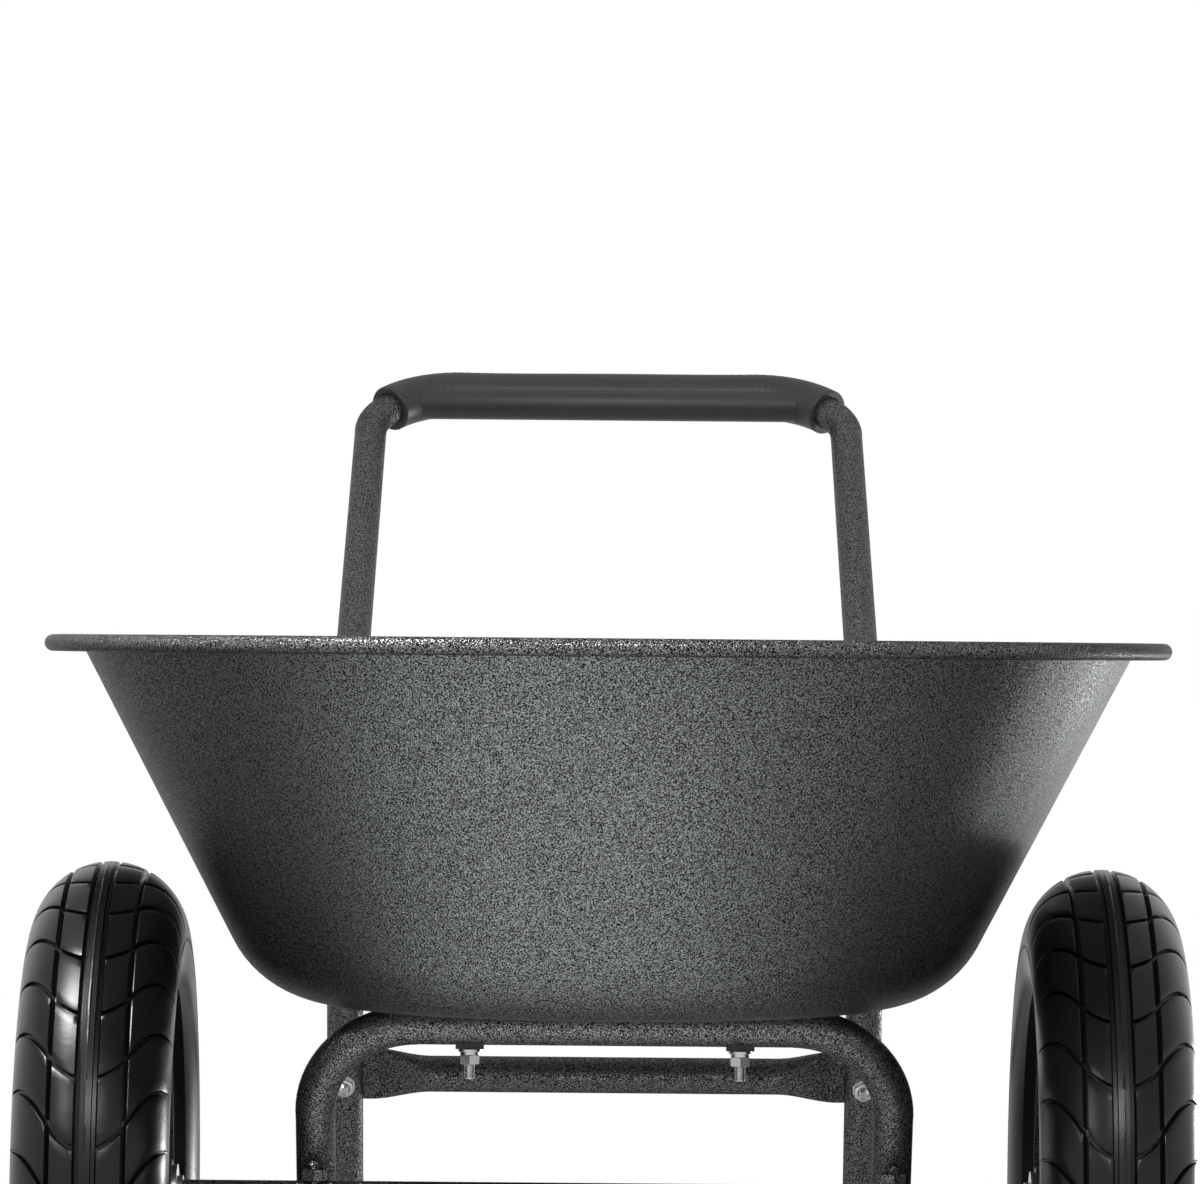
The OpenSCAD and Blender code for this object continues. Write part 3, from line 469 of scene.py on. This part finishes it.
def bolt_shape(length, thread, head_w, head_h, shank=3.0):
    """Bolt along +Z from its seat, with a hexagon head, or a round one if it is lower than head_w / 4."""

    def head(turn):
        if head_h < head_w / 4:
            big = (head_w ** 2 / 4 + head_h ** 2) / (2 * head_h)
            lean = math.asin(head_w / 2 / big)
            return [(big * math.sin(lean * k / 8), big - head_h - big * math.cos(lean * k / 8))
                    for k in range(9)]
        r = hexagon(head_w, turn)
        drop = (r - FACE * head_w) * CHAMFER
        return [(0.0, -head_h), (FACE * head_w, -head_h), (r, drop - head_h), (r, -0.05), (r - 0.4, 0.0)]

    def profile(turn):
        rows = head(turn) + [(shank, 0.0), (shank, length - thread)]
        for z in np.arange(length - thread, length - TIP_CUT, 1 / 6):
            saw = abs(((z - turn / (2 * math.pi)) % 1.0) - 0.5) * 2
            rows.append((shank - THREAD_DEEP * (1 - saw), z + 0.01))
        return rows + [(shank - 0.3, length - 0.8), (shank - TIP_CUT, length), (0.0, length)]
    return revolve(profile, False)


def washer_shape(outside, inside, height):
    """Flat washer up from Z = 0, with its outer edges broken."""
    edge = 0.25

    def profile(turn):
        return [(inside, 0), (outside - edge, 0), (outside, edge), (outside, height - edge),
                (outside - edge, height), (inside, height)]
    return revolve(profile, True)


def spring_shape(outside, inside, height):
    """Split washer: one turn of square wire whose ends are sprung a little apart."""
    wire = ((inside, 0, 0), (outside, 0, 0), (outside, height, 1), (inside, height, 1))
    rings = []
    for k in range(TURNS + 1):
        turn = math.radians(6) + (2 * math.pi - math.radians(12)) * k / TURNS
        lift = 0.25 * (k / TURNS - 0.5)
        rings.append([(r * math.cos(turn), r * math.sin(turn), z + lift * w) for r, z, w in wire])
    points, faces = skin(rings, False, True)
    end = len(points) - len(wire)
    return points, faces + [(3, 2, 1, 0), (end, end + 1, end + 2, end + 3)]


zinc = mottled("zinc_plate", broad=(160.0, 4.0), fine=(1500.0, 2.0),
               shades=((0.58, 0.575, 0.56), (0.86, 0.855, 0.84)), rough=(0.22, 0.42),
               bump=(0.12, 0.0001), Metallic=1.0)


def spread(name, node, placed, finish=zinc):
    """One piece made of (shape, place) pairs in mm, standing for a CAD node."""
    points, faces = [], []
    for shape, place in placed:
        start = len(points)
        points += [place @ Vector(p) * MM for p in shape[0]]
        faces += [[start + i for i in face] for face in shape[1]]
    piece = put_mesh(name, points, faces)
    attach(piece, "chassis")
    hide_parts(node)
    finish_with(finish, piece)


def each(shape, places):
    """The same shape at every place."""
    return [(shape, place) for place in places]


low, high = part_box("tray_bolts")
BOLT_X, FRONT_Y, BACK_Y = high[0] / MM - HEAD_R, low[1] / MM + HEAD_R, high[1] / MM - HEAD_R
SEAT_Z, TIP_Z = TRAY_Z / MM + SHEET, low[2] / MM
UNDER_BAR, UNDER_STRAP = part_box("tray_saddles")[0][2] / MM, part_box("tray_strap")[0][2] / MM
TUBE_AND_PAD = 24.3
LEG_BOLT, STRETCHER_BOLT, HANDLE_BOLT = (171.15, LEG_Y, LEG_Z), (166, 387.75, 105), (171.15, 538.24, 417.02)
AXLE_BOLT_X, AXLE_BOLT_Z, AXLE_NUT_Z = 155, 167, 185


def tray_places(front_z, back_z):
    """Places on the two rows of tray bolts, pointing down from the given heights."""
    return [Matrix.Translation((x, y, z)) @ Matrix.Rotation(math.pi, 4, "X")
            for y, z in ((FRONT_Y, front_z), (BACK_Y, back_z)) for x in (-BOLT_X, BOLT_X)]


def under(drop):
    """Places under the bar and the strap, the given way below them."""
    return tray_places(UNDER_BAR - drop, UNDER_STRAP - drop)


def brace_places(along):
    """Places on the cross brace's bolts, measured forward from the brace's back."""
    forward = Matrix.Rotation(math.pi / 2, 4, "X")
    return [at_brace @ Matrix.Translation((x, TUBE_R + PAD_T - along, 0)) @ forward for x in (-LEG_X, LEG_X)]


def cross_places(seat, along):
    """Places on bolts that run inwards from their seats on both sides."""
    x, y, z = seat
    return [Matrix.Translation((s * (x - along), AXLE_MM + y, z)) @ Matrix.Rotation(-s * math.pi / 2, 4, "Y")
            for s in (-1, 1)]


def axle_places(z):
    """Places on the axle's two bolts, pointing up."""
    return [Matrix.Translation((x, AXLE_MM, z)) for x in (-AXLE_BOLT_X, AXLE_BOLT_X)]


long_bolt = bolt_shape(SEAT_Z - TIP_Z, thread=14, **ROUND_HEAD)
short_bolt = bolt_shape(16.1, thread=10, **ROUND_HEAD)
m6_nut = nut_shape(width=10, height=5, bore=3.05)
m6_washer = washer_shape(outside=6.3, inside=3.3, height=WASHER)
m6_spring = spring_shape(outside=5.25, inside=3.3, height=WASHER)
front_row, back_row = tray_places(SEAT_Z, SEAT_Z)[:2], tray_places(SEAT_Z, SEAT_Z)[2:]
spread("round_head_bolts", "tray_bolts", each(long_bolt, front_row) + each(short_bolt, back_row))
spread("tray_flat_washers", "tray_washers", each(m6_washer, under(0)))
spread("tray_split_washers", "tray_spring_washers", each(m6_spring, under(WASHER)))
spread("tray_hex_nuts", "tray_nuts", each(m6_nut, under(2 * WASHER)))
spread("brace_hex_bolts", "brace_bolts", each(bolt_shape(34.9, **HEX_HEAD), brace_places(0)))
spread("brace_flat_washers", "brace_washers", each(m6_washer, brace_places(TUBE_AND_PAD)))
spread("brace_hex_nuts", "brace_nuts", each(m6_nut, brace_places(TUBE_AND_PAD + WASHER)))
for joint, seat, length, through in (("leg", LEG_BOLT, 33.3, TUBE_AND_PAD),
                                     ("stretcher", STRETCHER_BOLT, 33.3, TUBE_AND_PAD),
                                     ("handle", HANDLE_BOLT, 30.3, 2 * TUBE_R)):
    cross_bolt = bolt_shape(length, **HEX_HEAD)
    spread(joint + "_hex_bolts", joint + "_bolts", each(cross_bolt, cross_places(seat, 0)))
    spread(joint + "_hex_nuts", joint + "_nuts", each(m6_nut, cross_places(seat, through)))
m8_bolt = bolt_shape(28.4, thread=11, head_w=13, head_h=4, shank=4.0)
m8_nut = nut_shape(width=13, height=6.4, bore=4.05)
spread("axle_hex_bolts", "axle_bolts", each(m8_bolt, axle_places(AXLE_BOLT_Z)), frame_paint)
spread("axle_hex_nuts", "axle_nuts", each(m8_nut, axle_places(AXLE_NUT_Z)), frame_paint)
plated = ["inner_washers", "axle_collars", "outer_washers", "split_pins"]
for side in ("left", "right"):
    plated += [side + "_bearing_inner", side + "_bearing_outer", side + "_rim_bolts", side + "_rim_nuts"]
finish_with(zinc, *[cad[name] for name in plated])


# Tray saddles, feet and valve caps
# Moulded black plastic with a fine spark eroded grain, pushed on or clamped between other pieces.

plastic = mottled("black_plastic", broad=(30.0, 3.0), fine=(1800.0, 2.0),
                  shades=((0.012, 0.012, 0.012), (0.024, 0.024, 0.025)), rough=(0.40, 0.55),
                  bump=(0.2, 0.0002), Metallic=0.0)
finish_with(plastic, cad["tray_saddles"], cad["left_foot"], cad["right_foot"],
            cad["left_valve_cap"], cad["right_valve_cap"])


# Wheel rims and hubs
# Two dished steel halves bolted face to face round a plain hub, sprayed with dark grey hammertone paint.

rim_paint = hammertone_paint("rim_hammertone", dark=(0.018, 0.018, 0.018), light=(0.11, 0.11, 0.111),
                             metallic=0.1, lumps=0.6)
for side in ("left", "right"):
    finish_with(rim_paint, cad[side + "_rim_inner"], cad[side + "_rim_outer"], cad[side + "_hub"])


# Tyres, inner tubes and valve stems
# Moulded rubber road tyres with a centre rib, a row of blocks on each side of it and sipes that sweep out
# over the shoulders. The mould's parting line still stands on the rib.

CROWN, SECTION = 0.1775, 0.041
PITCHES, ROWS = 30, 12
# Columns of the outer face, in degrees from the crown, and the depth in mm of those that are grooved.
TREAD = [0, 0.5, 1.6, 3.0, 4.2, 4.62, 5.0, 6.5, 8.0, 8.41, 8.9, 12, 16, 20, 23, 26.2, 26.7, 27.2, 29, 30.5,
         30.97, 31.5, 34, 37, 40.5, 44, 48, 52, 56, 60, 65, 70, 75, 80, 84, 87, 89, 89.8, 91.2, 92.0]
WALL = [94, 98, 102, 104, 106, 110, 114, 118, 121, 122.8]
GROOVE = {4.62: 0.4, 5.0: 4.0, 6.5: 4.0, 8.0: 4.0, 8.41: 0.4,
          26.7: 0.4, 27.2: 4.0, 29: 4.0, 30.5: 4.0, 30.97: 0.4, 89.8: 1.0, 91.2: 1.0}
# Bead and inside, in metres: (radius, reach from the middle), then the arc of the inside.
BEAD_SEAT = ((0.1143, 0.0305), (0.1143, 0.0265), (0.1016, 0.0265), (0.1016, 0.016), (0.1131, 0.016))
INSIDE_AT, INSIDE_R, INSIDE_TOP, INSIDE_FROM = 0.1385, 0.030, 0.1685, 32.2
# Sipes over the same degrees: sweep along the tread, depth and half width in mm. SIPE_CUT is the share of
# the depth on each row of a pitch.
SIPE_SWEEP = ([0, 8.9, 12, 16, 22, 26.2, 31.5, 36, 40.5, 46, 51.5, 58, 65, 75, 90],
              [0, 0, 0.9, 2.8, 6.2, 9.5, 15.5, 20.0, 24.2, 28.8, 32.3, 35.6, 38.0, 40.0, 41.0])
SIPE_DEPTH = ([8.89, 8.9, 26.2, 31.5, 45, 60, 75, 84], [0, 3.4, 3.4, 3.8, 3.4, 2.4, 1.2, 0])
SIPE_HALF = ([0, 26.2, 31.5, 45, 60, 75, 84], [1.6, 1.7, 2.3, 2.1, 1.6, 1.0, 0.6])
SIPE_CUT = [0, 0.06, 1, 1, 1, 0.06] + [0] * 6
BEVEL, FLASH = 0.8, 0.35
pitch = 2 * math.pi * 1000 * CROWN / PITCHES


def tyre_columns():
    """Half section from crown to inside: (radius, reach, degrees on the outer face or None, groove)."""
    half = []
    for a in TREAD + WALL:
        sunk = GROOVE.get(a, 0)
        r = SECTION - sunk * MM
        t = math.radians(a)
        half.append((CROWN - SECTION + r * math.cos(t), r * math.sin(t), a, sunk))
    half += [(radius, reach, None, 0) for radius, reach in BEAD_SEAT]
    for b in np.linspace(INSIDE_FROM, 180, 9)[1:-1]:
        t = math.radians(b)
        half.append((INSIDE_AT - INSIDE_R * math.cos(t), INSIDE_R * math.sin(t), None, 0))
    return half


half_section = tyre_columns()
section = half_section + [(INSIDE_TOP, 0.0, None, 0)]
section += [(r, -x, a, sunk) for r, x, a, sunk in half_section[:0:-1]]
rng = np.random.default_rng(7)
flash = rng.uniform(0, FLASH, PITCHES * ROWS)


def tyre_row(row):
    """One row across the tyre as (turn, radius, reach), sheared so that the sipes lie along the rows."""
    block, part = divmod(row, ROWS)
    points = []
    for radius, reach, a, sunk in section:
        outer = a is not None
        swing = np.interp(a, *SIPE_SWEEP) if outer else SIPE_SWEEP[1][-1]
        half_w = np.interp(a, *SIPE_HALF) if outer else 0.4
        cut = SIPE_CUT[part] * np.interp(a, *SIPE_DEPTH) if outer else 0.0
        edge = half_w + BEVEL
        along = [-edge, -half_w, -0.6 * half_w, 0, 0.6 * half_w, half_w, edge]
        along += [edge + (pitch - 2 * edge) * t / 6 for t in range(1, 6)]
        turn = (block * pitch + along[part] + swing) / (1000 * CROWN)
        if outer and cut > sunk:
            t = math.radians(a)
            less = (cut - sunk) * MM
            radius -= less * math.cos(t)
            reach -= math.copysign(less * math.sin(t), reach)
        if a == 0:
            radius += flash[row] * MM
        points.append((turn, radius, reach))
    return points


tread_rows = [tyre_row(row) for row in range(PITCHES * ROWS)]
rubber = mottled("tyre_rubber", broad=(14.0, 5.0), fine=(420.0, 4.0),
                 shades=((0.003, 0.003, 0.003), (0.008, 0.008, 0.008)), rough=(0.20, 0.38),
                 bump=(0.15, 0.0004), Metallic=0.0, Specular_IOR_Level=0.26)
for side in ("left", "right"):
    low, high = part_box(side + "_hub")
    middle = [(low[i] + high[i]) / 2 for i in range(3)]
    rings = [[(middle[0] + reach, middle[1] - radius * math.cos(turn), middle[2] + radius * math.sin(turn))
              for turn, radius, reach in row] for row in tread_rows]
    tyre = put_mesh(side + "_road_tyre", *skin(rings, True, True), sharp_deg=38)
    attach(tyre, side + "_wheel")
    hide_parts(side + "_tyre")
    finish_with(rubber, tyre, cad[side + "_inner_tube"], cad[side + "_valve_stem"])


# Studio
# A plain pale floor that fades into white, one broad soft light overhead and small lamps for the highlights.
# In the paint's reflections the floor glows with painted light, brightest ahead of the tray and dark beside
# it.

# The floor lies just under the mould lines on the tyres.
FLOOR_HALF, FLOOR_Z = 9, -0.0005
square = ((-1, -1), (1, -1), (1, 1), (-1, 1))
floor_mesh = bpy.data.meshes.new("floor")
floor_mesh.from_pydata([(x * FLOOR_HALF, y * FLOOR_HALF, FLOOR_Z) for x, y in square], [], [(0, 1, 2, 3)])
floor = bpy.data.objects.new("floor", floor_mesh)
bpy.context.scene.collection.objects.link(floor)
floor_paint = bpy.data.materials.new("floor_paint")
floor_paint.use_nodes = True
floor_tree = floor_paint.node_tree
floor_tree.nodes.clear()
floor_place = add(floor_tree, "ShaderNodeTexCoord")


def pool(at, half, fade, value):
    """A value that goes smoothly from the middle to the edge of an oval patch of floor."""
    place = add(floor_tree, "ShaderNodeMapping", vector_type="TEXTURE",
                in_Location=(*at, 0), in_Scale=(*half, 1))
    far = add(floor_tree, "ShaderNodeVectorMath", operation="LENGTH")
    level = ranged(floor_tree, *value, *fade, "SMOOTHSTEP")
    floor_tree.links.new(floor_place.outputs["Object"], place.inputs["Vector"])
    floor_tree.links.new(place.outputs["Vector"], far.inputs[0])
    floor_tree.links.new(far.outputs["Value"], level.inputs["Value"])
    return level.outputs["Result"]


def joined(tree, operation, first, second):
    """The result of a maths node on two values."""
    item = add(tree, "ShaderNodeMath", operation=operation)
    tree.links.new(first, item.inputs[0])
    tree.links.new(second, item.inputs[1])
    return item.outputs["Value"]


def mixed(tree, factor, first, second):
    """The mix of two shaders, the second one where the factor is 1."""
    mix = add(tree, "ShaderNodeMixShader")
    tree.links.new(factor, mix.inputs["Fac"])
    tree.links.new(first, mix.inputs[1])
    tree.links.new(second, mix.inputs[2])
    return mix.outputs["Shader"]


seen = add(floor_tree, "ShaderNodeLightPath")
matt = add(floor_tree, "ShaderNodeBsdfDiffuse", in_Color=(0.82, 0.82, 0.82, 1))
white = add(floor_tree, "ShaderNodeEmission", in_Color=(1, 1, 1, 1), in_Strength=1.0)
painted_glow = add(floor_tree, "ShaderNodeEmission", in_Color=(1, 1, 1, 1))
horizon = pool(at=(0, -1.2), half=(1 / 0.55, 1), fade=(1.9, 3.1), value=(0, 1))
# Painted light for glossy rays only: the floor glows brightest in a pool ahead of the tray and is dark
# beside it.
beside = joined(floor_tree, "MULTIPLY",
                pool(at=(-0.72, -0.05), half=(0.40, 0.85), fade=(0.3, 1.0), value=(0.03, 0.5)),
                pool(at=(0.80, -0.05), half=(0.50, 0.85), fade=(0.3, 1.0), value=(0.08, 1)))
ahead = pool(at=(-0.15, -0.95), half=(0.56, 0.66), fade=(0.4, 1.05), value=(0.85, 0))
painted_reflection_level = joined(floor_tree, "MAXIMUM", horizon, joined(floor_tree, "ADD", beside, ahead))
floor_tree.links.new(painted_reflection_level, painted_glow.inputs["Strength"])
direct = joined(floor_tree, "MAXIMUM", seen.outputs["Is Camera Ray"], seen.outputs["Is Transmission Ray"])
plain = mixed(floor_tree, joined(floor_tree, "MULTIPLY", horizon, direct),
              matt.outputs["BSDF"], white.outputs["Emission"])
surface = mixed(floor_tree, seen.outputs["Is Glossy Ray"], plain, painted_glow.outputs["Emission"])
out = add(floor_tree, "ShaderNodeOutputMaterial")
floor_tree.links.new(surface, out.inputs["Surface"])
finish_with(floor_paint, floor)

world = bpy.data.worlds.new("studio")
bpy.context.scene.world = world
world.use_nodes = True
tree = world.node_tree
tree.nodes.clear()
seen = add(tree, "ShaderNodeLightPath")
ambient = add(tree, "ShaderNodeBackground", in_Color=(1, 1, 1, 1), in_Strength=0.3)
white = add(tree, "ShaderNodeBackground", in_Color=(1, 1, 1, 1))
where = add(tree, "ShaderNodeTexCoord")
rise = add(tree, "ShaderNodeSeparateXYZ")
ceiling = ranged(tree, 1.0, 0.5, 0.2, 0.6, "SMOOTHSTEP")
tree.links.new(where.outputs["Generated"], rise.inputs["Vector"])
tree.links.new(rise.outputs["Z"], ceiling.inputs["Value"])
tree.links.new(ceiling.outputs["Result"], white.inputs["Strength"])
direct = joined(tree, "MAXIMUM", seen.outputs["Is Camera Ray"], seen.outputs["Is Transmission Ray"])
surface = mixed(tree, joined(tree, "MAXIMUM", direct, seen.outputs["Is Glossy Ray"]),
                ambient.outputs["Background"], white.outputs["Background"])
out = add(tree, "ShaderNodeOutputWorld")
tree.links.new(surface, out.inputs["Surface"])


def softbox(name, place, aim, width, height, watts):
    """A rectangular lamp that faces its aim."""
    lamp = bpy.data.lights.new(name, "AREA")
    lamp.shape = "RECTANGLE"
    lamp.size, lamp.size_y = width, height
    lamp.energy = watts
    thing = bpy.data.objects.new(name, lamp)
    bpy.context.scene.collection.objects.link(thing)
    thing.location = place
    thing.rotation_euler = (Vector(aim) - Vector(place)).to_track_quat("-Z", "Y").to_euler()
    return thing


softbox("top", (0, 0, 4), (0, 0.01, 0), 6, 6, 190).visible_glossy = False
softbox("front", (0.15, -3.8, 2.6), (0, -0.3, 0.4), 1.4, 0.6, 60)
key = softbox("key", (-1.4, -1.0, 2.5), (-0.28, -0.45, 0.35), 0.8, 0.8, 6.5)
key.data.spread = math.radians(34)
key.visible_diffuse = False
softbox("left", (-1.6, -2.0, 1.5), (-0.2, -0.4, 0.25), 0.5, 0.4, 9).visible_diffuse = False
softbox("low_right", (1.08, 1.05, 0.12), (0.26, -0.1, 0.45), 0.3, 0.16, 7).visible_diffuse = False

lens = bpy.data.cameras.new("camera")
lens.sensor_width, lens.lens = 36.0, 201.5
camera = bpy.data.objects.new("camera", lens)
bpy.context.scene.collection.objects.link(camera)
tilt, roll = math.radians(90 + 0.455), math.radians(0.5)
camera.matrix_world = (Matrix.Translation((-0.0048, AXLE_Y - 3.6, 0.473))
                       @ Matrix.Rotation(tilt, 4, "X") @ Matrix.Rotation(roll, 4, "Z"))
bpy.context.scene.camera = camera
bpy.context.scene.view_settings.view_transform = "Standard"
